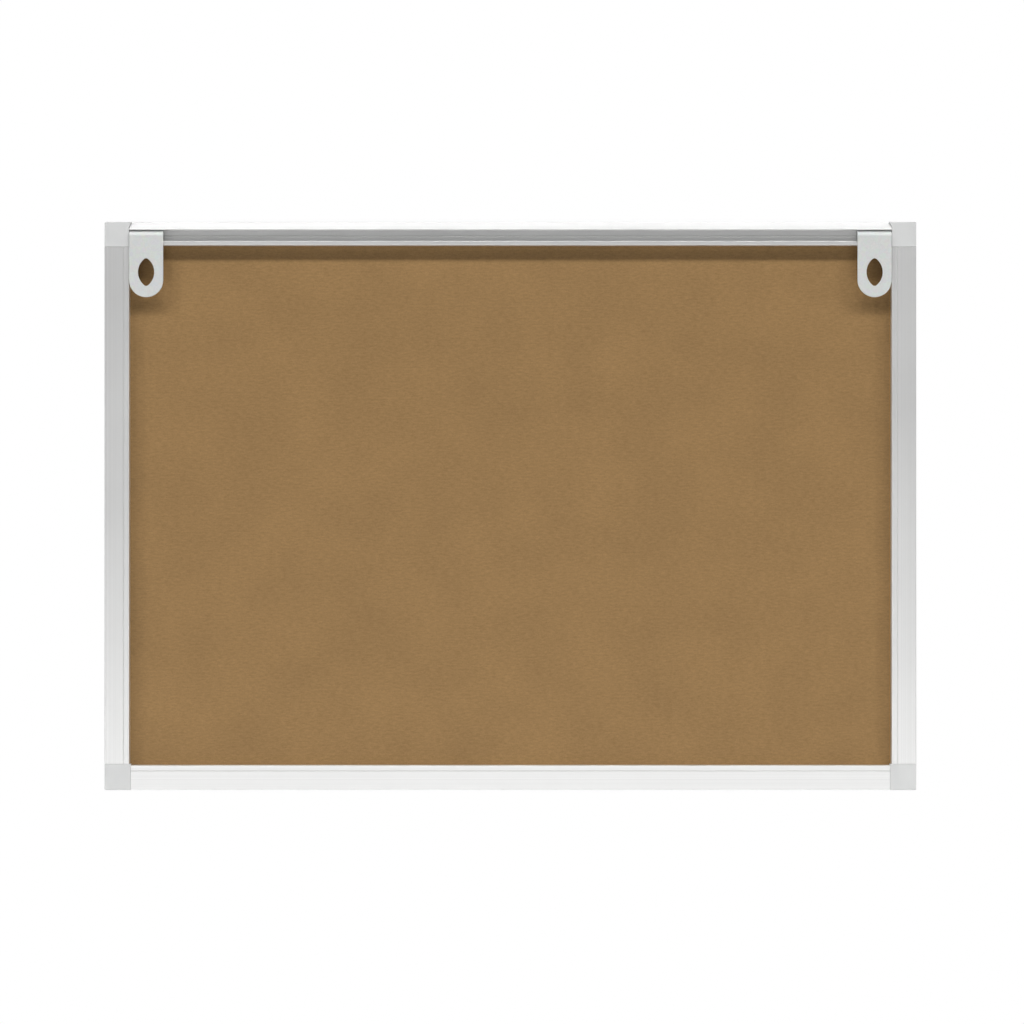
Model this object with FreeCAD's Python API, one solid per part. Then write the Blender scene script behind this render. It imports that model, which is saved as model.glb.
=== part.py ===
"""Cork bulletin board in an aluminium frame, with two hangers that slide in the top rail.

Millimetres. +Z is up, X runs along the width, and the cork faces -Y. The wall is the plane Y = 0,
which the backs of the hangers touch, and the origin is midway between the two hanger holes.
Left and right are those of a person who stands in front of the cork.
"""
import FreeCAD, Part
import math
import os

Vector = FreeCAD.Vector

# ---------------------------------------------------------------- board
BOARD_WIDTH = 500.0
BOARD_HEIGHT = 350.0
FRAME_DEPTH = 16.0

# ---------------------------------------------------------------- rails, seen in section
# u runs from the outer edge of the frame inwards, v from the front face to the back.
WALL = 1.2                # outer wall, front lip and back wall
WEB = 1.0                 # partitions inside a rail
SIDE_RAIL_FACE = 15.2     # back width of the left, right and bottom rails
TOP_RAIL_FACE = 14.4      # back width of the top rail
FRONT_LIP = 12.0          # how far the front lip reaches over the cork
SLOT_FLOOR = 7.0          # u of the web that the edge of the panel stands off from
FRONT_EDGE_RADIUS = 3.0   # long outer edge at the front
LIP_EDGE_RADIUS = 0.6
BACK_EDGE_RADIUS = 0.4
GROOVE_FROM_INNER_EDGE = 3.5
GROOVE_WIDTH = 0.7
GROOVE_DEPTH = 0.4

# channel along the back of the top rail
UPPER_LIP = 4.9           # u of the edge that hangs on the hangers
LOWER_LIP = 2.7           # width of the lip under the mouth
LIP_FALL = 1.6            # how much lower the upper lip is at the outer edge
BEAD_OFFSET = 8.3         # u of the bead on the floor of the channel
BEAD_WIDTH = 0.7
BEAD_HEIGHT = 0.5

# ---------------------------------------------------------------- panel
CORK_THICKNESS = 2.0
CORE_THICKNESS = 6.0
LINER_THICKNESS = 0.4
PANEL_CLEARANCE = 0.1     # between the panel and each side of its slot
PANEL_EDGE_GAP = 0.5      # between the edge of the panel and the floor of its slot

# ---------------------------------------------------------------- corner mouldings
TOP_CORNER_WIDTH = 15.0
TOP_CORNER_HEIGHT = 15.2
BOTTOM_CORNER_SIZE = 16.0
CORNER_RADIUS = 1.0       # upright outer edge, from front to back
CORNER_EDGE_BREAK = 0.35  # small rounding where a corner meets the back
SEAM = 0.12               # joint between a corner and the end of a rail
LEG_LENGTH = 30.0
LEG_CLEARANCE = 0.1
LEG_LEAD_IN = 3.0         # length of the narrowed tip
LEG_TIP_TAPER = 0.6
EAR_LENGTH = 1.8          # slanted ear of a top corner, over the end of the top rail
EAR_DROP = 3.0
EAR_THICKNESS = 2.3

# ---------------------------------------------------------------- hangers
PLATE_THICKNESS = 1.2
PLATE_TO_FRAME = 0.2      # running gap between a plate and the backs of the rails
HANGER_WIDTH = 21.0
HOLE_WIDTH = 10.0
HOLE_HEIGHT = 17.0
HOLE_TIP_RADIUS = 2.0
HOLE_TO_BEND = 25.2       # centre of the hole up to the top of the bend
HOLE_TO_END = 15.4        # centre of the hole down to the round end
BEND_RADIUS = 3.0         # outside of the bend at the head of the plate
HOOK_RADIUS = 0.6         # inside of the bend at the foot of the hook
HOOK_TIP = 3.6            # how far the hook stands up behind the upper lip
HOOK_TIP_CORNER = 1.5
HOOK_TO_LIP = 0.4         # nearest the hook comes to the inside of the upper lip
HANG_GAP = 0.9            # lift between the bend and the lip that will rest on it
END_GAP = 0.1             # hanger to corner moulding, at the end of its travel
PLATE_EDGE_BREAK = 0.2

# ---------------------------------------------------------------- worked out
FRAME_BACK = -(PLATE_THICKNESS + PLATE_TO_FRAME)
FRAME_FRONT = FRAME_BACK - FRAME_DEPTH
PANEL_THICKNESS = CORK_THICKNESS + CORE_THICKNESS + LINER_THICKNESS
SLOT_BACK = WALL + PANEL_THICKNESS + 2.0 * PANEL_CLEARANCE
FLOOR = SLOT_BACK + WEB
PANEL_INSET = SLOT_FLOOR + PANEL_EDGE_GAP
LEG_ROOM_END = SLOT_FLOOR - WEB

TOP_Z = HOLE_TO_BEND + HANG_GAP + UPPER_LIP
BOTTOM_Z = TOP_Z - BOARD_HEIGHT
LEFT_X = -BOARD_WIDTH / 2.0
RIGHT_X = BOARD_WIDTH / 2.0

HANGER_REST_X = RIGHT_X - TOP_CORNER_WIDTH - SEAM - END_GAP - HANGER_WIDTH / 2.0


def depth(v):
    """Y of a place that is v behind the front face."""
    return FRAME_FRONT + v


# ---------------------------------------------------------------- outlines
def rounded_outline(corners):
    """Closed flat wire through (a, b, radius) corners in the XY plane, each with its own rounding."""
    count = len(corners)
    points = [Vector(a, b, 0.0) for a, b, radius in corners]
    edges = []
    first = None
    last = None
    for i in range(count):
        here = points[i]
        radius = corners[i][2]
        back = (points[i - 1] - here).normalize()
        ahead = (points[(i + 1) % count] - here).normalize()
        start, end = here, here
        arc = None
        if radius > 0.0:
            half = back.getAngle(ahead) / 2.0
            reach = radius / math.tan(half)
            start = here + back * reach
            end = here + ahead * reach
            middle_way = (back + ahead).normalize()
            middle = here + middle_way * (radius / math.sin(half) - radius)
            arc = Part.Arc(start, middle, end).toShape()
        if last is None:
            first = start
        else:
            edges.append(Part.LineSegment(last, start).toShape())
        if arc is not None:
            edges.append(arc)
        last = end
    edges.append(Part.LineSegment(last, first).toShape())
    return Part.Wire(edges)


def rectangle(low_a, low_b, high_a, high_b, radius=0.0):
    return rounded_outline([
        (low_a, low_b, radius),
        (high_a, low_b, radius),
        (high_a, high_b, radius),
        (low_a, high_b, radius),
    ])


def face_with_holes(wires):
    """Flat face of the largest wire, open inside the others."""
    return Part.makeFace(wires, "Part::FaceMakerBullseye")


def block(x_limits, y_limits, z_limits):
    corner = Vector(x_limits[0], y_limits[0], z_limits[0])
    return Part.makeBox(
        x_limits[1] - x_limits[0],
        y_limits[1] - y_limits[0],
        z_limits[1] - z_limits[0],
        corner,
    )


def front_prism(outline, y_low, y_high):
    """Solid of an (x, z) outline, from y_low to y_high."""
    face = Part.Face(outline)
    face.rotate(Vector(0, 0, 0), Vector(1, 0, 0), 90)
    face.translate(Vector(0, y_low, 0))
    return face.extrude(Vector(0, y_high - y_low, 0))


# ---------------------------------------------------------------- rail sections
def leg_room_corners(clearance):
    """Chamber that a corner's leg slides into, as (u, v, radius) corners."""
    near = WALL + clearance
    far_u = LEG_ROOM_END - clearance
    far_v = SLOT_BACK - clearance
    outer_radius = FRONT_EDGE_RADIUS - near
    return [
        (near, near, outer_radius),
        (far_u, near, LIP_EDGE_RADIUS),
        (far_u, far_v, LIP_EDGE_RADIUS),
        (near, far_v, LIP_EDGE_RADIUS),
    ]


def front_of_section(face_width):
    """The corners that every rail shares: the outer front edge, the lip and the panel slot."""
    return [
        (0.0, 0.0, FRONT_EDGE_RADIUS),
        (FRONT_LIP, 0.0, LIP_EDGE_RADIUS),
        (FRONT_LIP, WALL, 0.0),
        (SLOT_FLOOR, WALL, 0.0),
        (SLOT_FLOOR, SLOT_BACK, 0.0),
        (face_width, SLOT_BACK, 0.0),
    ]


def plain_section():
    """Left, right and bottom rails: two closed chambers and a fine groove along the back."""
    groove = SIDE_RAIL_FACE - GROOVE_FROM_INNER_EDGE
    outline = front_of_section(SIDE_RAIL_FACE) + [
        (SIDE_RAIL_FACE, FRAME_DEPTH, BACK_EDGE_RADIUS),
        (groove + GROOVE_WIDTH / 2.0, FRAME_DEPTH, 0.0),
        (groove, FRAME_DEPTH - GROOVE_DEPTH, 0.0),
        (groove - GROOVE_WIDTH / 2.0, FRAME_DEPTH, 0.0),
        (0.0, FRAME_DEPTH, BACK_EDGE_RADIUS),
    ]
    back_room = rectangle(
        WALL, FLOOR, SIDE_RAIL_FACE - WALL, FRAME_DEPTH - WALL, BACK_EDGE_RADIUS,
    )
    leg_room = rounded_outline(leg_room_corners(0.0))
    return face_with_holes([rounded_outline(outline), leg_room, back_room])


def lip_slope():
    return LIP_FALL / UPPER_LIP


def lip_underside(u):
    """v of the inner face of the upper lip."""
    slope = lip_slope()
    square_to_slope = WALL * math.sqrt(1.0 + slope * slope)
    return FRAME_DEPTH - LIP_FALL + slope * u - square_to_slope


def top_section():
    """Top rail: its back is an open channel with a sloping upper lip and a flat lower one."""
    mouth_low = TOP_RAIL_FACE - LOWER_LIP
    outline = front_of_section(TOP_RAIL_FACE) + [
        (TOP_RAIL_FACE, FRAME_DEPTH, BACK_EDGE_RADIUS),
        (mouth_low, FRAME_DEPTH, BACK_EDGE_RADIUS),
        (mouth_low, FRAME_DEPTH - WALL, BACK_EDGE_RADIUS),
        (TOP_RAIL_FACE - WALL, FRAME_DEPTH - WALL, 0.0),
        (TOP_RAIL_FACE - WALL, FLOOR, 0.0),
        (BEAD_OFFSET + BEAD_WIDTH / 2.0, FLOOR, 0.0),
        (BEAD_OFFSET + BEAD_WIDTH / 4.0, FLOOR + BEAD_HEIGHT, 0.0),
        (BEAD_OFFSET - BEAD_WIDTH / 4.0, FLOOR + BEAD_HEIGHT, 0.0),
        (BEAD_OFFSET - BEAD_WIDTH / 2.0, FLOOR, 0.0),
        (WALL, FLOOR, 0.0),
        (WALL, lip_underside(WALL), 0.0),
        (UPPER_LIP, lip_underside(UPPER_LIP), BACK_EDGE_RADIUS),
        (UPPER_LIP, FRAME_DEPTH, BACK_EDGE_RADIUS),
        (0.0, FRAME_DEPTH - LIP_FALL, BACK_EDGE_RADIUS),
    ]
    leg_room = rounded_outline(leg_room_corners(0.0))
    return face_with_holes([rounded_outline(outline), leg_room])


# ---------------------------------------------------------------- four sides of the frame
# A side is drawn as a bar along +X whose section stands in Y and Z, outer edge upwards, and is then
# turned about Y onto its own side of the board.
SIDES = {
    "top": (0.0, BOARD_HEIGHT / 2.0),
    "right": (90.0, BOARD_WIDTH / 2.0),
    "bottom": (180.0, BOARD_HEIGHT / 2.0),
    "left": (270.0, BOARD_WIDTH / 2.0),
}
CENTRE_Z = (TOP_Z + BOTTOM_Z) / 2.0


def along_bar(x):
    """Stands a (u, v) section across a bar at x: Z = -u and Y = depth(v)."""
    return FreeCAD.Placement(FreeCAD.Matrix(
        0, 0, 1, x,
        0, 1, 0, FRAME_FRONT,
        -1, 0, 0, 0,
        0, 0, 0, 1,
    ))


def bar(section, low, high):
    """Solid of a (u, v) section along X, from low to high, with the frame's outer edge at Z = 0."""
    face = section.copy()
    face.Placement = along_bar(low)
    return face.extrude(Vector(high - low, 0, 0))


def onto_side(shape, side):
    """Turns a bar that was drawn along the top, about the centre of the board, onto one side."""
    angle, reach = SIDES[side]
    placed = shape.copy()
    placed.translate(Vector(0, 0, reach))
    placed.rotate(Vector(0, 0, 0), Vector(0, 1, 0), angle)
    placed.translate(Vector(0, 0, CENTRE_Z))
    return placed


def make_rail(side):
    """One rail, cut square between its two corners."""
    if side == "top":
        half = BOARD_WIDTH / 2.0 - TOP_CORNER_WIDTH - SEAM
        return onto_side(bar(top_section(), -half, half), side)
    if side == "bottom":
        half = BOARD_WIDTH / 2.0 - BOTTOM_CORNER_SIZE - SEAM
        return onto_side(bar(plain_section(), -half, half), side)
    at_top = BOARD_HEIGHT / 2.0 - TOP_CORNER_HEIGHT - SEAM
    at_bottom = BOARD_HEIGHT / 2.0 - BOTTOM_CORNER_SIZE - SEAM
    if side == "right":
        return onto_side(bar(plain_section(), -at_top, at_bottom), side)
    return onto_side(bar(plain_section(), -at_bottom, at_top), side)


def make_top_rail():
    """The top rail, with its ends cut back for the slanted ears of the top corners."""
    rail = make_rail("top")
    for hand in (-1, 1):
        rail = rail.cut(ear(hand, SEAM))
    return rail


# ---------------------------------------------------------------- corners
def ear(hand, room):
    """Slanted ear over the end of the top rail. hand is -1 at the left and 1 at the right."""
    root = BOARD_WIDTH / 2.0 - TOP_CORNER_WIDTH
    slant = EAR_LENGTH / EAR_DROP
    spread = room * math.sqrt(1.0 + slant * slant)
    outline = Part.makePolygon([
        Vector(hand * root, TOP_Z, 0),
        Vector(hand * (root - EAR_LENGTH - spread), TOP_Z, 0),
        Vector(hand * (root - spread), TOP_Z - EAR_DROP, 0),
        Vector(hand * root, TOP_Z - EAR_DROP - room, 0),
        Vector(hand * root, TOP_Z, 0),
    ])
    return front_prism(outline, FRAME_BACK - EAR_THICKNESS - room, FRAME_BACK)


def corner_skin_section(face_width):
    """Outer profile of a corner: the rail's profile without its slot, grooves and chambers."""
    return Part.Face(rounded_outline([
        (0.0, 0.0, FRONT_EDGE_RADIUS),
        (face_width, 0.0, 0.0),
        (face_width, FRAME_DEPTH, 0.0),
        (0.0, FRAME_DEPTH, CORNER_EDGE_BREAK),
    ]))


def corner_box(hand, top, width, height, y_limits, x_start=0.0, z_start=0.0):
    """Box at one outer corner of the frame, from x_start, z_start inwards to width, height."""
    outer_x = RIGHT_X if hand > 0 else LEFT_X
    outer_z = TOP_Z if top else BOTTOM_Z
    down = -1.0 if top else 1.0
    x_limits = sorted([outer_x - hand * x_start, outer_x - hand * width])
    z_limits = sorted([outer_z + down * z_start, outer_z + down * height])
    return block(x_limits, y_limits, z_limits)


def corner_footprint(hand, top, width, height):
    """The corner seen from the front, with its outer corner rounded."""
    outer_x = RIGHT_X if hand > 0 else LEFT_X
    outer_z = TOP_Z if top else BOTTOM_Z
    inner_x = outer_x - hand * width
    inner_z = outer_z - height if top else outer_z + height
    outline = rounded_outline([
        (outer_x, outer_z, CORNER_RADIUS),
        (inner_x, outer_z, 0.0),
        (inner_x, inner_z, 0.0),
        (outer_x, inner_z, 0.0),
    ])
    return front_prism(outline, FRAME_FRONT, FRAME_BACK)


def make_leg(side, end, root):
    """One leg: fills a rail's leg room with LEG_CLEARANCE, and narrows at its tip.

    end is -1 or 1, the end of the side's bar that the leg goes in at, and root is where the leg
    leaves the corner, measured from the middle of the bar.
    """
    inside = root - LEG_LENGTH
    shoulder = inside + LEG_LEAD_IN
    section = Part.Face(rounded_outline(leg_room_corners(LEG_CLEARANCE)))
    low, high = sorted([end * root, end * shoulder])
    shank = bar(section, low, high)
    rings = []
    for place, clearance in ((shoulder, LEG_CLEARANCE), (inside, LEG_CLEARANCE + LEG_TIP_TAPER)):
        ring = rounded_outline(leg_room_corners(clearance))
        ring.Placement = along_bar(end * place)
        rings.append(ring)
    lead_in = Part.makeLoft(rings, True)
    return onto_side(shank.fuse(lead_in), side)


def make_corner(hand, top):
    """Corner moulding: a block flush with the rails, a pocket for the panel and two legs."""
    width = TOP_CORNER_WIDTH if top else BOTTOM_CORNER_SIZE
    height = TOP_CORNER_HEIGHT if top else BOTTOM_CORNER_SIZE
    level_side = "top" if top else "bottom"
    upright_side = "right" if hand > 0 else "left"

    level = onto_side(bar(corner_skin_section(height), -BOARD_WIDTH, BOARD_WIDTH), level_side)
    upright = onto_side(bar(corner_skin_section(width), -BOARD_WIDTH, BOARD_WIDTH), upright_side)
    body = corner_footprint(hand, top, width, height).common(level).common(upright)

    # the front stops at the lips of the rails, so the cork's window has a square corner
    past = 1.0
    window = corner_box(
        hand, top, width + past, height + past,
        (depth(-past), depth(WALL + past)), FRONT_LIP, FRONT_LIP,
    )
    pocket_inset = PANEL_INSET - LEG_CLEARANCE
    pocket = corner_box(
        hand, top, width + past, height + past,
        (depth(WALL), depth(SLOT_BACK)), pocket_inset, pocket_inset,
    )
    body = body.cut(window).cut(pocket)

    # seen from the front, the sides follow each other clockwise, each bar's +X end leading
    level_end = hand if top else -hand
    upright_end = -level_end
    overlap = 1.0
    legs = [
        make_leg(level_side, level_end, BOARD_WIDTH / 2.0 - width + overlap),
        make_leg(upright_side, upright_end, BOARD_HEIGHT / 2.0 - height + overlap),
    ]
    body = body.fuse(legs)
    if top:
        body = body.fuse(ear(hand, 0.0))
    return body.removeSplitter()


# ---------------------------------------------------------------- panel
def make_sheet(front_v, thickness):
    """One layer of the panel, v from front_v."""
    inset = PANEL_INSET
    return block(
        (LEFT_X + inset, RIGHT_X - inset),
        (depth(front_v), depth(front_v + thickness)),
        (BOTTOM_Z + inset, TOP_Z - inset),
    )


# ---------------------------------------------------------------- hangers
def hook_profile():
    """Side view of the bent strip as a (y, z) wire: plate, bend, foot and upturned hook."""
    t = PLATE_THICKNESS
    top = HOLE_TO_BEND
    bend_y = -BEND_RADIUS
    bend_z = top - BEND_RADIUS
    tip_u = UPPER_LIP + HANG_GAP - HOOK_TIP
    hook_back = depth(lip_underside(tip_u) - HOOK_TO_LIP)
    foot_y = hook_back + HOOK_RADIUS
    foot_z = top + HOOK_RADIUS
    tip_z = top + HOOK_TIP
    end_z = -HOLE_TO_END
    diagonal = math.sqrt(0.5)

    def at(y, z):
        return Vector(y, z, 0)

    def around(y, z, radius, way_y, way_z):
        return at(y + radius * way_y * diagonal, z + radius * way_z * diagonal)

    outer = BEND_RADIUS
    inner = BEND_RADIUS - t
    hook_outer = HOOK_RADIUS + t
    edges = [
        Part.LineSegment(at(0, end_z), at(0, bend_z)),
        Part.Arc(at(0, bend_z), around(bend_y, bend_z, outer, 1, 1), at(bend_y, top)),
        Part.LineSegment(at(bend_y, top), at(foot_y, top)),
        Part.Arc(at(foot_y, top), around(foot_y, foot_z, HOOK_RADIUS, -1, -1), at(hook_back, foot_z)),
        Part.LineSegment(at(hook_back, foot_z), at(hook_back, tip_z)),
        Part.LineSegment(at(hook_back, tip_z), at(hook_back - t, tip_z)),
        Part.LineSegment(at(hook_back - t, tip_z), at(hook_back - t, foot_z)),
        Part.Arc(
            at(hook_back - t, foot_z),
            around(foot_y, foot_z, hook_outer, -1, -1),
            at(foot_y, top - t),
        ),
        Part.LineSegment(at(foot_y, top - t), at(bend_y, top - t)),
        Part.Arc(at(bend_y, top - t), around(bend_y, bend_z, inner, 1, 1), at(-t, bend_z)),
        Part.LineSegment(at(-t, bend_z), at(-t, end_z)),
        Part.LineSegment(at(-t, end_z), at(0, end_z)),
    ]
    return Part.Wire([edge.toShape() for edge in edges])


def hanger_blank():
    """The strip seen from the front: a round lower end and a hook with rounded corners."""
    half = HANGER_WIDTH / 2.0
    return rounded_outline([
        (-half, -HOLE_TO_END, half - 0.001),
        (half, -HOLE_TO_END, half - 0.001),
        (half, HOLE_TO_BEND + HOOK_TIP, HOOK_TIP_CORNER),
        (-half, HOLE_TO_BEND + HOOK_TIP, HOOK_TIP_CORNER),
    ])


def almond_hole():
    """Hole with two wide side arcs that run smoothly into a small arc at the top and bottom."""
    half_width = HOLE_WIDTH / 2.0
    half_height = HOLE_HEIGHT / 2.0
    tip_z = half_height - HOLE_TIP_RADIUS
    side = half_width - HOLE_TIP_RADIUS
    shift = (tip_z * tip_z - side * side) / (2.0 * side)
    side_radius = shift + half_width
    # where a side arc meets a tip arc, seen from the centre of the side arc
    reach = math.hypot(shift, tip_z)
    meet_x = shift / reach * HOLE_TIP_RADIUS
    meet_z = tip_z + tip_z / reach * HOLE_TIP_RADIUS
    left_low = Vector(-meet_x, -meet_z, 0)
    left_high = Vector(-meet_x, meet_z, 0)
    right_low = Vector(meet_x, -meet_z, 0)
    right_high = Vector(meet_x, meet_z, 0)
    edges = [
        Part.Arc(right_low, Vector(side_radius - shift, 0, 0), right_high),
        Part.Arc(right_high, Vector(0, half_height, 0), left_high),
        Part.Arc(left_high, Vector(-half_width, 0, 0), left_low),
        Part.Arc(left_low, Vector(0, -half_height, 0), right_low),
    ]
    return Part.Wire([edge.toShape() for edge in edges])


def make_hanger(hand):
    """One hanger at its outer rest place, with the sharp edges of its back face broken."""
    half = HANGER_WIDTH / 2.0
    strip = Part.Face(hook_profile())
    # (y, z) in the XY plane -> Y and Z, standing at X = -half
    strip.Placement = FreeCAD.Placement(FreeCAD.Matrix(
        0, 0, 1, -half,
        1, 0, 0, 0,
        0, 1, 0, 0,
        0, 0, 0, 1,
    ))
    strip = strip.extrude(Vector(HANGER_WIDTH, 0, 0))
    past = 1.0
    blank = front_prism(hanger_blank(), FRAME_FRONT, past)
    hole = front_prism(almond_hole(), -PLATE_THICKNESS - past, past)
    hanger = strip.common(blank).cut(hole)
    hanger = break_back_edges(hanger)
    hanger.translate(Vector(hand * HANGER_REST_X, 0, 0))
    return hanger


def break_back_edges(hanger):
    """Rounds the outline and the hole on the back face, where the tool leaves a soft edge."""
    chosen = []
    bend_z = HOLE_TO_BEND - BEND_RADIUS
    for edge in hanger.Edges:
        box = edge.BoundBox
        flat_on_back = abs(box.YMin) < 1e-6 and abs(box.YMax) < 1e-6
        along_bend = box.ZMin > bend_z - 1e-6 and box.XLength > HANGER_WIDTH - 1e-3
        at_bend_line = abs(box.ZMin - bend_z) < 1e-6 and abs(box.ZMax - bend_z) < 1e-6
        if flat_on_back and not along_bend and not at_bend_line:
            chosen.append(edge)
    return hanger.makeFillet(PLATE_EDGE_BREAK, chosen)


# ---------------------------------------------------------------- all the pieces
def build_all():
    cork_front = WALL + PANEL_CLEARANCE
    core_front = cork_front + CORK_THICKNESS
    liner_front = core_front + CORE_THICKNESS
    return {
        "rail_top": make_top_rail(),
        "rail_bottom": make_rail("bottom"),
        "rail_left": make_rail("left"),
        "rail_right": make_rail("right"),
        "corner_top_left": make_corner(-1, True),
        "corner_top_right": make_corner(1, True),
        "corner_bottom_left": make_corner(-1, False),
        "corner_bottom_right": make_corner(1, False),
        "cork_sheet": make_sheet(cork_front, CORK_THICKNESS),
        "core_board": make_sheet(core_front, CORE_THICKNESS),
        "back_liner": make_sheet(liner_front, LINER_THICKNESS),
        "hanger_left": make_hanger(-1),
        "hanger_right": make_hanger(1),
    }


os.makedirs("parts", exist_ok=True)
for name, shape in build_all().items():
    solids = shape.Solids
    print(name, "solids", len(solids), "valid", shape.isValid(), "volume", round(shape.Volume, 1))
    if len(solids) == 1:
        shape = solids[0]
    shape.exportStep("parts/" + name + ".step")
print("hanger rest x", round(HANGER_REST_X, 3), "top z", round(TOP_Z, 3), "front y", FRAME_FRONT)
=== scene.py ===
# %% [markdown]
# # A cork bulletin board, seen from behind
# The board is an aluminium frame round a laminated panel: cork at the front, soft fibre board in the
# middle, brown kraft paper at the back. Two steel hangers slide in a channel along the top rail. The frame,
# corners and hangers come ready made from the construction model; this lesson gives them their finishes,
# makes the cork itself, and lights the board.

# %% Load the frame
import math

import bmesh
import bpy
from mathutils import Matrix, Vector


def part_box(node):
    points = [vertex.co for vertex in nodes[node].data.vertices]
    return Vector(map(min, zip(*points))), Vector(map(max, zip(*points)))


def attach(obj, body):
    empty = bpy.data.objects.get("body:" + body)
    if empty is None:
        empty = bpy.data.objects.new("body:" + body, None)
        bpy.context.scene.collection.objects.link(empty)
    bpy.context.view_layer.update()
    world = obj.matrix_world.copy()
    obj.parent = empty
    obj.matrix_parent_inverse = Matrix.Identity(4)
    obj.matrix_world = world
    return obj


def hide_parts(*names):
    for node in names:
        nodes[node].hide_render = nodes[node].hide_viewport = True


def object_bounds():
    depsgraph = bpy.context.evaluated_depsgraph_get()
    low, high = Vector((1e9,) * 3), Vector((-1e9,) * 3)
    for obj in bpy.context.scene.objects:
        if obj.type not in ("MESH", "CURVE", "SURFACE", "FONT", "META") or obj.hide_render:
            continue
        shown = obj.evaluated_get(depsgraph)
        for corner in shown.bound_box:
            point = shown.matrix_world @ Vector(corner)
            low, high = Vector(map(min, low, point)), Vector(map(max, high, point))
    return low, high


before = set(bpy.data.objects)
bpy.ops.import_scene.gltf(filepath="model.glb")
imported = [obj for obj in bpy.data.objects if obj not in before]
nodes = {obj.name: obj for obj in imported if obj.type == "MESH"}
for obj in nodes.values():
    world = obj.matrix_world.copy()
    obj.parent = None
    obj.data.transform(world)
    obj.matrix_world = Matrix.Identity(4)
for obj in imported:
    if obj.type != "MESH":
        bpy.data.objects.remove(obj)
cad_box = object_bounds()
print("nodes", sorted(nodes))
print("board measures", [round(high - low, 4) for low, high in zip(*cad_box)])

MM = 0.001

# %% [markdown]
# ## A small kit for node materials
# Every finish here is a Principled shader with a few textures feeding its colour, roughness and bump. They
# could be painted images, but patterns worked out from Object coordinates need no files, have no seams, and
# stay fixed to the piece when it moves. These helpers keep each recipe down to a few lines.


# %% Helpers for materials
class Finish:
    """One material, with short names for the nodes that the recipes below use."""

    def __init__(self, name, **settings):
        self.material = bpy.data.materials.new(name)
        self.material.use_nodes = True
        self.tree = self.material.node_tree
        self.shader = self.tree.nodes["Principled BSDF"]
        for socket, value in settings.items():
            self.shader.inputs[socket.replace("_", " ")].default_value = value
        self.place = self.node("ShaderNodeTexCoord").outputs["Object"]

    def node(self, kind, **options):
        made = self.tree.nodes.new(kind)
        for option, value in options.items():
            setattr(made, option, value)
        return made

    def link(self, output, target):
        self.tree.links.new(output, target)

    def stretched(self, x, y, z):
        """Object coordinates scaled along each axis, so a pattern can run along a piece."""
        mapping = self.node("ShaderNodeMapping")
        mapping.inputs["Scale"].default_value = (x, y, z)
        self.link(self.place, mapping.inputs["Vector"])
        return mapping.outputs["Vector"]

    def noise(self, scale, detail=4.0, roughness=0.5, place=None):
        made = self.node("ShaderNodeTexNoise")
        made.inputs["Scale"].default_value = scale
        made.inputs["Detail"].default_value = detail
        made.inputs["Roughness"].default_value = roughness
        self.link(place or self.place, made.inputs["Vector"])
        return made.outputs["Fac"]

    def cells(self, scale, feature="F1", output="Distance"):
        made = self.node("ShaderNodeTexVoronoi", feature=feature)
        made.inputs["Scale"].default_value = scale
        self.link(self.place, made.inputs["Vector"])
        return made.outputs[output]

    def remap(self, value, low, high, to_low, to_high):
        made = self.node("ShaderNodeMapRange")
        self.link(value, made.inputs["Value"])
        limits = (("From Min", low), ("From Max", high), ("To Min", to_low), ("To Max", to_high))
        for socket, number in limits:
            made.inputs[socket].default_value = number
        return made.outputs["Result"]

    def ramp(self, value, stops):
        """Colour ramp through (position, (r, g, b)) stops."""
        made = self.node("ShaderNodeValToRGB")
        elements = made.color_ramp.elements
        while len(elements) < len(stops):
            elements.new(0.5)
        for element, (position, colour) in zip(elements, stops):
            element.position = position
            element.color = (*colour, 1.0)
        self.link(value, made.inputs["Fac"])
        return made.outputs["Color"]

    def mix(self, amount, first, second, blend="MIX"):
        made = self.node("ShaderNodeMix", data_type="RGBA", blend_type=blend)
        for socket, value in ((made.inputs[0], amount), (made.inputs[6], first), (made.inputs[7], second)):
            if isinstance(value, (float, tuple)):
                socket.default_value = value
            else:
                self.link(value, socket)
        return made.outputs[2]

    def colour(self, output):
        self.link(output, self.shader.inputs["Base Color"])

    def roughness(self, output):
        self.link(output, self.shader.inputs["Roughness"])

    def bump(self, height, depth_mm, strength=1.0):
        made = self.node("ShaderNodeBump")
        made.inputs["Strength"].default_value = strength
        made.inputs["Distance"].default_value = depth_mm * MM
        self.link(height, made.inputs["Height"])
        self.link(made.outputs["Normal"], self.shader.inputs["Normal"])


def shade(colour, factor):
    return tuple(channel * factor for channel in colour)


# %% [markdown]
# ## Anodised aluminium
# The rails are pushed through a die and then anodised, which leaves faint lines along their length and a
# satin skin. A noise stretched hard along the rail makes those lines. The level and the upright rails need
# the stretch along different axes, so one function makes both.


# %% Aluminium for level and upright rails
ALONG = 0.4       # pattern repeats per metre along a rail
ACROSS = 1400.0   # and across it


def make_aluminium(name, along_x):
    skin = Finish(name, Metallic=0.82, Roughness=0.4)
    lines = skin.stretched(ALONG, ACROSS, ACROSS) if along_x else skin.stretched(ACROSS, ACROSS, ALONG)
    drawn = skin.noise(1.0, detail=3.0, roughness=0.6, place=lines)
    bloom = skin.noise(9.0, detail=2.0)
    tone = skin.remap(drawn, 0.3, 0.7, 0.0, 1.0)
    skin.colour(skin.ramp(tone, [(0.0, (0.80, 0.80, 0.795)), (1.0, (0.90, 0.90, 0.895))]))
    blotch = skin.remap(bloom, 0.3, 0.7, 0.36, 0.44)
    skin.roughness(blotch)
    skin.bump(drawn, 0.004, 0.15)
    return skin.material


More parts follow.
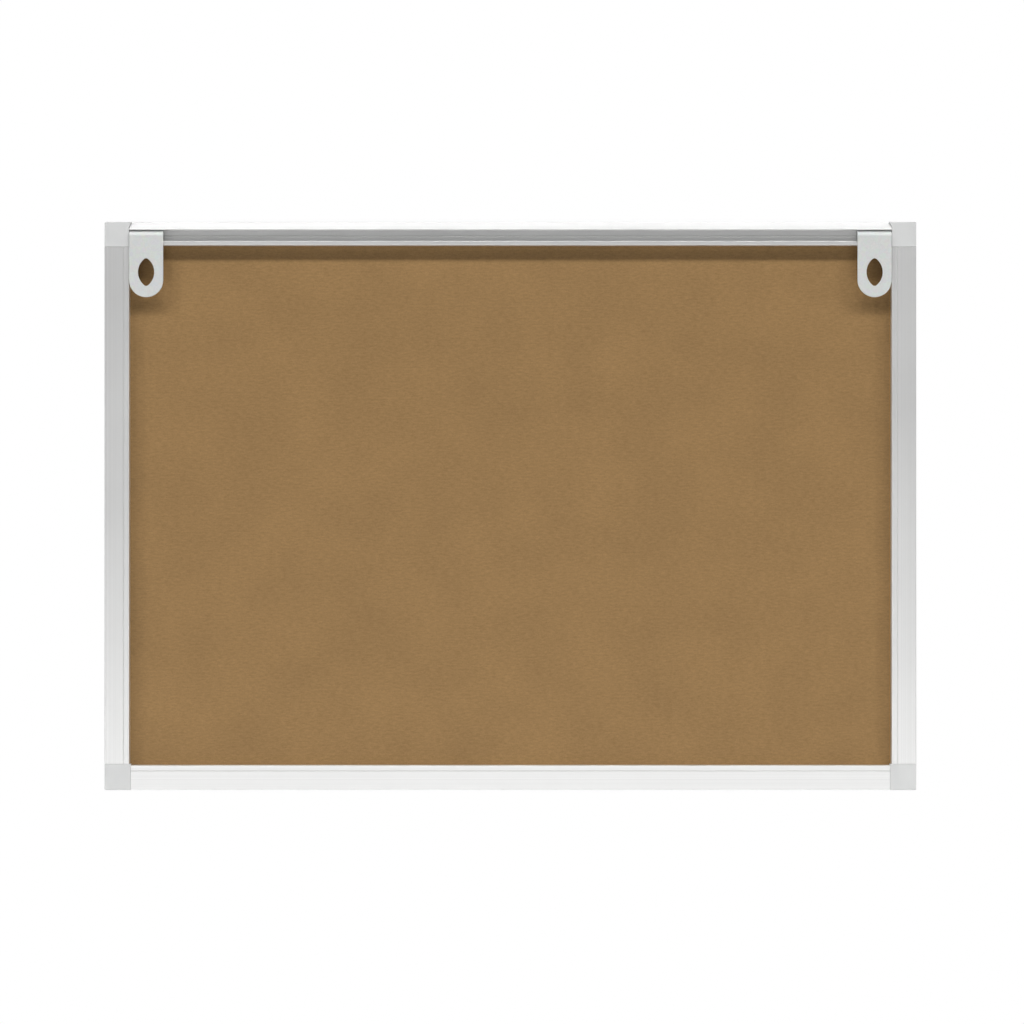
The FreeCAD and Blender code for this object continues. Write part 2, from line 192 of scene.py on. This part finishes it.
level_aluminium = make_aluminium("anodised_aluminium_level", True)
upright_aluminium = make_aluminium("anodised_aluminium_upright", False)
for rail in ("rail_top", "rail_bottom"):
    nodes[rail].material_slots[0].material = level_aluminium
for rail in ("rail_left", "rail_right"):
    nodes[rail].material_slots[0].material = upright_aluminium
print("rails finished:", level_aluminium.name, upright_aluminium.name)

# %% [markdown]
# ## Moulded corners
# The corners are injection moulded in light grey plastic with a spark-eroded grain. Two scales of noise do
# it: a fine one for the grain, and a broad weak one for the slight unevenness of a thick moulding.

# %% Grey plastic
plastic = Finish("grey_plastic", Roughness=0.5, IOR=1.5)
grain = plastic.noise(2600.0, detail=2.0)
cloud = plastic.noise(60.0, detail=2.0)
plastic.colour(plastic.ramp(cloud, [(0.3, (0.61, 0.616, 0.614)), (0.7, (0.66, 0.666, 0.662))]))
plastic.roughness(plastic.remap(grain, 0.3, 0.7, 0.44, 0.58))
plastic.bump(grain, 0.012, 0.5)
corners = [name for name in nodes if name.startswith("corner_")]
for name in corners:
    nodes[name].material_slots[0].material = plastic.material
print("corners finished:", len(corners))

# %% [markdown]
# ## Coated steel hangers
# Each hanger is pressed from zinc-coated sheet and lacquered pale grey. A cell pattern gives the faint
# spangle of the zinc below, and a finer noise the orange peel of the lacquer.

# %% Coated steel
steel = Finish("coated_steel", Roughness=0.42, Metallic=0.12)
spangle = steel.cells(420.0, output="Color")
peel = steel.noise(900.0, detail=3.0)
base = steel.ramp(peel, [(0.3, (0.62, 0.637, 0.627)), (0.7, (0.67, 0.687, 0.677))])
steel.colour(steel.mix(0.035, base, spangle))
steel.roughness(steel.remap(peel, 0.3, 0.7, 0.36, 0.5))
steel.bump(peel, 0.01, 0.4)
hangers = ("hanger_left", "hanger_right")
for name in hangers:
    nodes[name].material_slots[0].material = steel.material
print("hangers finished:", hangers)

# %% [markdown]
# ## Kraft paper liner
# Kraft is brown paper with long fibres that lie roughly level, paler and darker flecks, and a slow cloudiness
# where the pulp was thicker. Three noises at three scales give clouds, fibres and flecks. The fibre noise is
# stretched along the width, the way the paper ran off its roll.

# %% Kraft liner and fibre core
KRAFT = (0.293, 0.176, 0.072)
kraft = Finish("brown_kraft", Roughness=0.86)
kraft.shader.inputs["Specular IOR Level"].default_value = 0.25
clouds = kraft.noise(28.0, detail=5.0, roughness=0.6)
fibres = kraft.noise(1.0, detail=4.0, roughness=0.65, place=kraft.stretched(260.0, 900.0, 900.0))
flecks = kraft.noise(1500.0, detail=2.0, roughness=0.7)
pulp = kraft.ramp(clouds, [(0.3, shade(KRAFT, 0.94)), (0.7, shade(KRAFT, 1.06))])
strands = kraft.ramp(fibres, [(0.3, (0.86, 0.86, 0.85)), (0.7, (1.10, 1.10, 1.12))])
fleck_tone = kraft.ramp(flecks, [(0.3, (0.92, 0.92, 0.91)), (0.7, (1.07, 1.07, 1.08))])
kraft.colour(kraft.mix(1.0, kraft.mix(1.0, pulp, strands, "MULTIPLY"), fleck_tone, "MULTIPLY"))
kraft.bump(fibres, 0.03, 0.5)
nodes["back_liner"].material_slots[0].material = kraft.material

core = Finish("soft_fibre_board", Roughness=0.95)
shreds = core.noise(1.0, detail=5.0, roughness=0.7, place=core.stretched(300.0, 1200.0, 500.0))
core.colour(core.ramp(shreds, [(0.3, (0.33, 0.23, 0.14)), (0.7, (0.50, 0.38, 0.25))]))
core.bump(shreds, 0.15, 0.6)
nodes["core_board"].material_slots[0].material = core.material
print("liner and core finished")

# %% [markdown]
# ## Cork
# Sheet cork is made of bark granules, two or three millimetres across, pressed into a block with a binder
# and sliced. The slice is flat with small pits between the granules. Its colour can be a texture alone, but
# the pits catch light, so they are modelled: the front of a slab is cut into a fine grid, and Geometry
# Nodes push the grid inwards along the borders of a cell pattern.

# %% The plain slab
CORK_COLUMNS = 300   # grid squares across the front; with the rows, each is about 1.6 mm
CORK_ROWS = 206
cork_low, cork_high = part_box("cork_sheet")


def make_slab(name, low, high, columns, rows):
    """Closed slab: a grid in front, four plain sides and one face at the back."""
    form = bmesh.new()
    grid = []
    for row in range(rows + 1):
        z = low.z + (high.z - low.z) * row / rows
        xs = [low.x + (high.x - low.x) * column / columns for column in range(columns + 1)]
        grid.append([form.verts.new((x, low.y, z)) for x in xs])
    for row in range(rows):
        for column in range(columns):
            form.faces.new((
                grid[row][column], grid[row][column + 1],
                grid[row + 1][column + 1], grid[row + 1][column],
            ))
    rim = list(grid[0])
    rim += [grid[row][columns] for row in range(1, rows + 1)]
    rim += [grid[rows][column] for column in range(columns - 1, -1, -1)]
    rim += [grid[row][0] for row in range(rows - 1, 0, -1)]
    behind = [form.verts.new((vert.co.x, high.y, vert.co.z)) for vert in rim]
    for i, vert in enumerate(rim):
        following = (i + 1) % len(rim)
        form.faces.new((vert, behind[i], behind[following], rim[following]))
    form.faces.new(list(reversed(behind)))
    bmesh.ops.recalc_face_normals(form, faces=form.faces)
    mesh = bpy.data.meshes.new(name)
    form.to_mesh(mesh)
    form.free()
    slab = bpy.data.objects.new(name, mesh)
    bpy.context.scene.collection.objects.link(slab)
    return slab


slab = make_slab("cork_slab", cork_low, cork_high, CORK_COLUMNS, CORK_ROWS)
print("slab faces", len(slab.data.polygons))

# %% [markdown]
# The finish comes next, because the node tree ends by setting it. The colour reads the same cell size as the
# pits, so a granule's tint changes where its border is cut.

# %% Cork finish
GRANULES_PER_METRE = 380.0
cork = Finish("granulated_cork", Roughness=0.82)
cork.shader.inputs["Specular IOR Level"].default_value = 0.3
tint = cork.cells(GRANULES_PER_METRE, output="Color")
split = cork.node("ShaderNodeSeparateColor")
cork.link(tint, split.inputs["Color"])
bark = cork.ramp(split.outputs[0], [
    (0.0, (0.20, 0.105, 0.045)),
    (0.18, (0.40, 0.23, 0.11)),
    (0.6, (0.53, 0.33, 0.17)),
    (1.0, (0.66, 0.44, 0.25)),
])
crumb = cork.noise(1700.0, detail=3.0, roughness=0.7)
crumb_tone = cork.ramp(crumb, [(0.28, (0.62, 0.58, 0.55)), (0.6, (1.08, 1.08, 1.08))])
cork.colour(cork.mix(1.0, bark, crumb_tone, "MULTIPLY"))
border = cork.cells(GRANULES_PER_METRE, feature="DISTANCE_TO_EDGE")
edge = cork.remap(border, 0.0, 0.12, 0.0, 1.0)
cork.bump(cork.mix(0.45, edge, crumb), 0.12, 0.7)
print("cork finish has", len(cork.tree.nodes), "nodes")


# %% [markdown]
# ## Pits
# The tree is built in the script, with its two sizes as named inputs. It picks the points whose normal looks
# out of the front, and moves them inwards by the pit depth, times how near they are to a granule's border,
# times a slow noise that makes some pits shallower. It ends by making the geometry real and setting the
# finish, so the result can be kept as a plain mesh.

# %% Geometry Nodes: pits between the granules
PIT_DEPTH = 0.35 * MM
PIT_RIM = 0.2           # share of a granule, from its border inwards, that slopes into the pit
UNEVEN_SCALE = 130.0    # repeats per metre of the noise that makes the pits uneven
FRONT_NORMAL_Y = -0.9   # points whose normal has a lower Y than this are on the front


def make_pit_tree(finish):
    """Node group that pushes the front of a slab inwards along the borders of a cell pattern."""
    tree = bpy.data.node_groups.new("cork_pits", "GeometryNodeTree")
    face = tree.interface
    face.new_socket("Geometry", in_out="INPUT", socket_type="NodeSocketGeometry")
    face.new_socket("Granules per metre", in_out="INPUT", socket_type="NodeSocketFloat")
    face.new_socket("Pit depth", in_out="INPUT", socket_type="NodeSocketFloat")
    face.new_socket("Geometry", in_out="OUTPUT", socket_type="NodeSocketGeometry")

    def node(kind, **options):
        made = tree.nodes.new(kind)
        for option, value in options.items():
            setattr(made, option, value)
        return made

    def link(output, target):
        tree.links.new(output, target)

    entry = node("NodeGroupInput")
    leave = node("NodeGroupOutput")
    place = node("GeometryNodeInputPosition")
    normal = node("GeometryNodeInputNormal")
    cells = node("ShaderNodeTexVoronoi", feature="DISTANCE_TO_EDGE")
    link(place.outputs[0], cells.inputs["Vector"])
    link(entry.outputs["Granules per metre"], cells.inputs["Scale"])
    pits = node("ShaderNodeMapRange")
    link(cells.outputs["Distance"], pits.inputs["Value"])
    for socket, number in (("From Min", 0.0), ("From Max", PIT_RIM), ("To Min", 1.0), ("To Max", 0.0)):
        pits.inputs[socket].default_value = number
    crumbs = node("ShaderNodeTexNoise")
    crumbs.inputs["Scale"].default_value = UNEVEN_SCALE
    link(place.outputs[0], crumbs.inputs["Vector"])
    uneven = node("ShaderNodeMath", operation="MULTIPLY")
    link(pits.outputs["Result"], uneven.inputs[0])
    link(crumbs.outputs["Fac"], uneven.inputs[1])
    deep = node("ShaderNodeMath", operation="MULTIPLY")
    link(uneven.outputs[0], deep.inputs[0])
    link(entry.outputs["Pit depth"], deep.inputs[1])
    inwards = node("ShaderNodeCombineXYZ")
    link(deep.outputs[0], inwards.inputs["Y"])
    facing = node("ShaderNodeSeparateXYZ")
    link(normal.outputs[0], facing.inputs[0])
    front = node("FunctionNodeCompare", data_type="FLOAT", operation="LESS_THAN")
    link(facing.outputs["Y"], front.inputs[0])
    front.inputs[1].default_value = FRONT_NORMAL_Y
    shift = node("GeometryNodeSetPosition")
    link(entry.outputs["Geometry"], shift.inputs["Geometry"])
    link(front.outputs[0], shift.inputs["Selection"])
    link(inwards.outputs[0], shift.inputs["Offset"])
    realize = node("GeometryNodeRealizeInstances")
    link(shift.outputs[0], realize.inputs[0])
    coat = node("GeometryNodeSetMaterial")
    coat.inputs["Material"].default_value = finish
    link(realize.outputs[0], coat.inputs["Geometry"])
    link(coat.outputs[0], leave.inputs[0])
    return tree


def socket_id(tree, name):
    found = [item for item in tree.interface.items_tree if item.name == name and item.in_out == "INPUT"]
    return found[0].identifier


def grow(source, tree, settings, name):
    """Runs a node tree on an object and keeps the result as a plain mesh object called name."""
    modifier = source.modifiers.new("grow", "NODES")
    modifier.node_group = tree
    for label, value in settings.items():
        modifier[socket_id(tree, label)] = value
    bpy.context.view_layer.update()
    ready = source.evaluated_get(bpy.context.evaluated_depsgraph_get())
    mesh = bpy.data.meshes.new_from_object(ready)
    mesh.name = name
    made = bpy.data.objects.new(name, mesh)
    bpy.context.scene.collection.objects.link(made)
    source.modifiers.remove(modifier)
    bpy.data.objects.remove(source)
    return made


cork_face = grow(
    slab,
    make_pit_tree(cork.material),
    {"Granules per metre": GRANULES_PER_METRE, "Pit depth": PIT_DEPTH},
    "cork_face",
)
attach(cork_face, "board")
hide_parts("cork_sheet")
print("cork triangles", sum(len(face.vertices) - 2 for face in cork_face.data.polygons))

# %% [markdown]
# ## Camera
# The camera stands square behind the board, far enough away that the picture is nearly without perspective.
# The lens is worked out from the width that the picture takes in at the back of the frame.

# %% Camera
low, high = (Vector(corner) for corner in cad_box)
middle = (low + high) / 2.0
PICTURE_WIDTH = 0.6304   # metres that the picture takes in at the back of the frame
DISTANCE = 2.4           # metres from there to the camera
AIM = Vector((-0.0010, 0.0, middle.z - 0.0037))
lens_data = bpy.data.cameras.new("camera")
lens_data.sensor_width = 36.0
lens_data.lens = lens_data.sensor_width * DISTANCE / PICTURE_WIDTH
camera = bpy.data.objects.new("camera", lens_data)
camera.location = (AIM.x, high.y + DISTANCE, AIM.z)
camera.rotation_euler = (math.radians(90.0), 0.0, math.radians(180.0))
bpy.context.scene.collection.objects.link(camera)
bpy.context.scene.camera = camera
print("lens", round(lens_data.lens, 2))

# %% [markdown]
# ## The room
# The room fills the shadows, and satin metal mirrors it. It is paler near the ground, as a room with a light
# floor is. Camera rays see plain white instead, which gives the picture a clean backdrop.

# %% World
ROOM_STRENGTH = 0.46
ROOM_TONES = ((0.0, 0.50), (0.5, 0.52), (1.0, 0.10))   # height from floor to ceiling, and brightness there
world = bpy.data.worlds.new("studio")
bpy.context.scene.world = world
world.use_nodes = True
room = world.node_tree
room.nodes.clear()
spot = room.nodes.new("ShaderNodeTexCoord")
height = room.nodes.new("ShaderNodeSeparateXYZ")
room.links.new(spot.outputs["Generated"], height.inputs[0])
level = room.nodes.new("ShaderNodeMapRange")
level.inputs["From Min"].default_value = -1.0
room.links.new(height.outputs["Z"], level.inputs["Value"])
sky = room.nodes.new("ShaderNodeValToRGB")
tones = sky.color_ramp.elements
tones.new(0.5)
for tone, (position, brightness) in zip(tones, ROOM_TONES):
    tone.position = position
    tone.color = (brightness, brightness, brightness, 1.0)
room.links.new(level.outputs["Result"], sky.inputs["Fac"])
fill = room.nodes.new("ShaderNodeBackground")
room.links.new(sky.outputs["Color"], fill.inputs["Color"])
fill.inputs["Strength"].default_value = ROOM_STRENGTH
backdrop = room.nodes.new("ShaderNodeBackground")
backdrop.inputs["Color"].default_value = (1.0, 1.0, 1.0, 1.0)
seen = room.nodes.new("ShaderNodeLightPath")
choose = room.nodes.new("ShaderNodeMixShader")
room.links.new(seen.outputs["Is Camera Ray"], choose.inputs["Fac"])
room.links.new(fill.outputs[0], choose.inputs[1])
room.links.new(backdrop.outputs[0], choose.inputs[2])
result = room.nodes.new("ShaderNodeOutputWorld")
room.links.new(choose.outputs[0], result.inputs["Surface"])
print("room strength", ROOM_STRENGTH)

# %% [markdown]
# ## Lamps
# A high key light throws the top rail's short shadow on to the kraft. It is a row of suns turned from left
# to right, like a long strip lamp, so that shadows stay firm below an edge and go soft at its sides. Each
# place in the row has two suns, one for matt surfaces and one for gloss, so the two can be set apart. Satin
# metal shows what it faces, so a wide card behind the camera and a low one near the foot of the frame show
# in gloss only. A soft lamp in front lights the cork.

# %% Lamps
KEY_TILT = 56.0                               # degrees that the key light stands above the level
KEY_TURNS = (-40.0, -20.0, 0.0, 20.0, 40.0)   # degrees that each sun of the strip is turned to one side
KEY_SPREAD = 8.0                              # degrees across each sun
KEY_MATT = 3.44                               # strength of the whole strip on matt surfaces
KEY_GLOSS = 2.0                               # strength of the whole strip in gloss


def aim_at(lamp, target):
    lamp.rotation_euler = (Vector(target) - lamp.location).to_track_quat("-Z", "Y").to_euler()


def add_sun(name, strength, turn, seen_in_gloss):
    """One sun of the key strip, which lights matt surfaces or shows in gloss, but not both."""
    data = bpy.data.lights.new(name, "SUN")
    data.energy = strength
    data.angle = math.radians(KEY_SPREAD)
    lamp = bpy.data.objects.new(name, data)
    tilt = math.radians(KEY_TILT)
    side = math.radians(turn)
    towards = Vector((math.sin(side), math.cos(side) * math.cos(tilt), math.cos(side) * math.sin(tilt)))
    lamp.location = middle + towards * 2.0
    aim_at(lamp, middle)
    lamp.visible_glossy = seen_in_gloss
    lamp.visible_diffuse = not seen_in_gloss
    bpy.context.scene.collection.objects.link(lamp)


def add_area(name, size, energy, place, target, gloss_only):
    """A flat lamp. Its place and target, in metres, are taken from the middle of the board."""
    data = bpy.data.lights.new(name, "AREA")
    data.shape = "RECTANGLE"
    data.size, data.size_y = size
    data.energy = energy
    lamp = bpy.data.objects.new(name, data)
    lamp.location = middle + Vector(place)
    aim_at(lamp, middle + Vector(target))
    lamp.visible_diffuse = not gloss_only
    lamp.visible_camera = not gloss_only
    bpy.context.scene.collection.objects.link(lamp)


# The turned suns count for less, so the strengths are shared out by what the row adds up to.
row_total = sum(math.cos(math.radians(turn)) for turn in KEY_TURNS)
for turn in KEY_TURNS:
    add_sun("key", KEY_MATT / row_total, turn, False)
    add_sun("key_glint", KEY_GLOSS / row_total, turn, True)
add_area("front_fill", (1.6, 1.2), 15.0, (-0.7, -1.9, 1.3), (0.0, 0.0, 0.0), False)
add_area("low_card", (1.6, 0.4), 1.27, (0.0, 0.55, -0.30), (0.0, 0.0, -0.10), True)
add_area("wide_card", (4.0, 4.0), 8.0, (0.0, 2.8, 0.0), (0.0, 0.0, 0.0), True)
print("suns", 2 * len(KEY_TURNS), "area lamps", 3)

# %% [markdown]
# ## Floor
# The board hangs on a wall, so the plain floor lies well below it and only catches a soft shadow.

# %% Floor
FLOOR_DROP = 0.45                              # metres from the foot of the board to the floor
FLOOR_X, FLOOR_BACK, FLOOR_FRONT = 2.5, -2.0, 2.6
floor_z = low.z - FLOOR_DROP
floor_mesh = bpy.data.meshes.new("floor")
floor_mesh.from_pydata(
    [
        (-FLOOR_X, FLOOR_BACK, floor_z), (FLOOR_X, FLOOR_BACK, floor_z),
        (FLOOR_X, FLOOR_FRONT, floor_z), (-FLOOR_X, FLOOR_FRONT, floor_z),
    ],
    [], [(0, 1, 2, 3)],
)
floor = bpy.data.objects.new("floor", floor_mesh)
paper = Finish("pale_floor", Roughness=0.9)
paper_cloud = paper.noise(3.0, detail=2.0)
paper.colour(paper.ramp(paper_cloud, [(0.3, (0.78, 0.78, 0.775)), (0.7, (0.80, 0.80, 0.795))]))
floor_mesh.materials.append(paper.material)
bpy.context.scene.collection.objects.link(floor)
bpy.context.scene.view_settings.view_transform = "Standard"
print("floor at", round(floor_z, 3))
